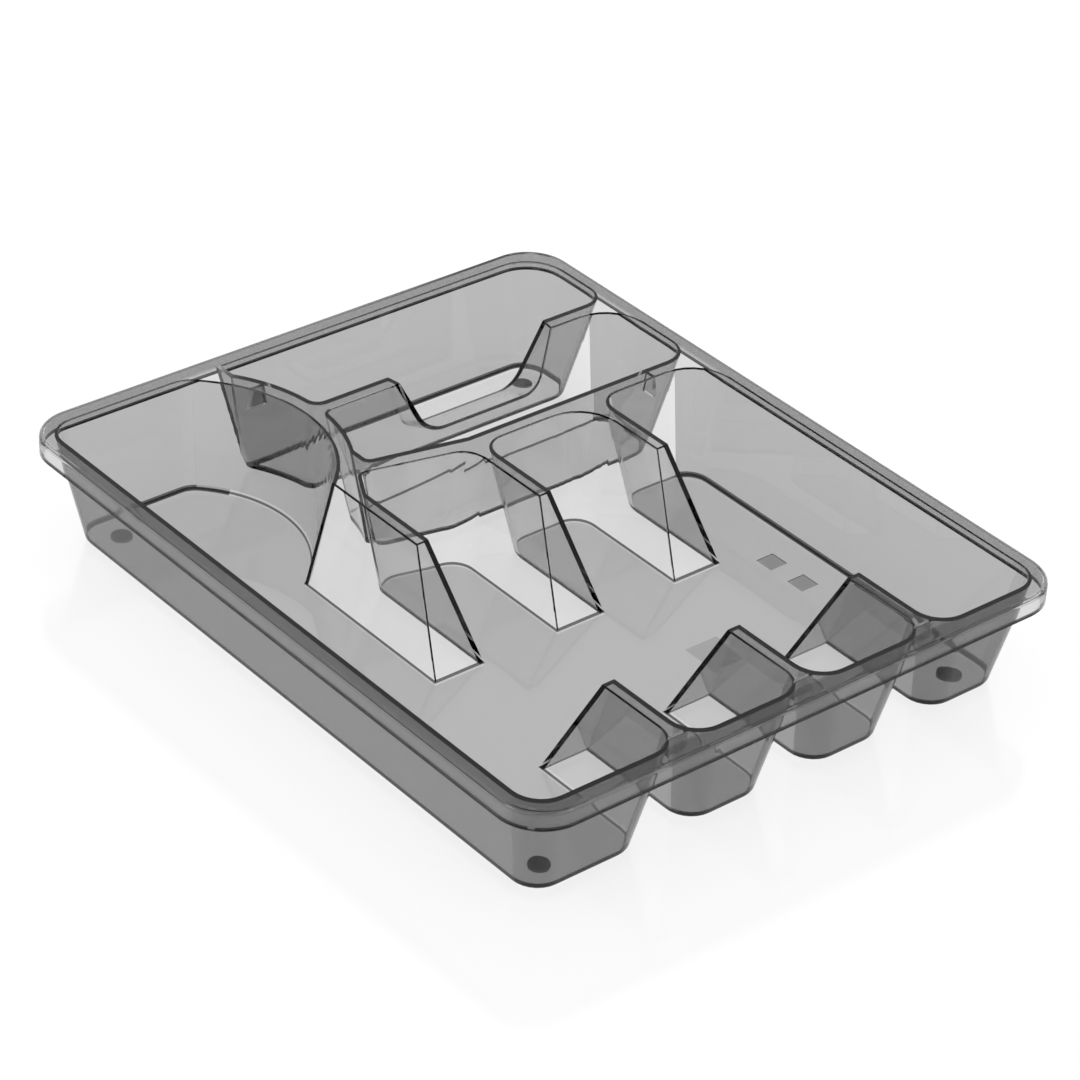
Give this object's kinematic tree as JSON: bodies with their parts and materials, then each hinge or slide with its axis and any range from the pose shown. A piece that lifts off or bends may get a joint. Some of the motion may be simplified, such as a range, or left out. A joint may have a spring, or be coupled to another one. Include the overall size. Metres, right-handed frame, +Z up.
{
  "type": "cutlery tray",
  "caption": "Shallow drawer tray of clear smoke-grey plastic, with tapered compartments, hollow dividers, a round head for ladles, a flat rim with a skirt, and soft pads below.",
  "frame": {"origin": "centre of the tray's outline, at the bottom of the pads", "axes": "+X to the right, +Y to the rear, where the cross compartments are, +Z up"},
  "size_m": [0.27, 0.33, 0.05],
  "materials": {
    "smoke_plastic": "clear smoke-grey polystyrene, glossy",
    "pad_rubber": "soft, matte"
  },
  "bodies": {
    "root": {"tray": "smoke_plastic", "foot_front_left": "pad_rubber", "foot_front_right": "pad_rubber", "foot_rear_left": "pad_rubber", "foot_rear_right": "pad_rubber"}
  },
  "joints": []
}
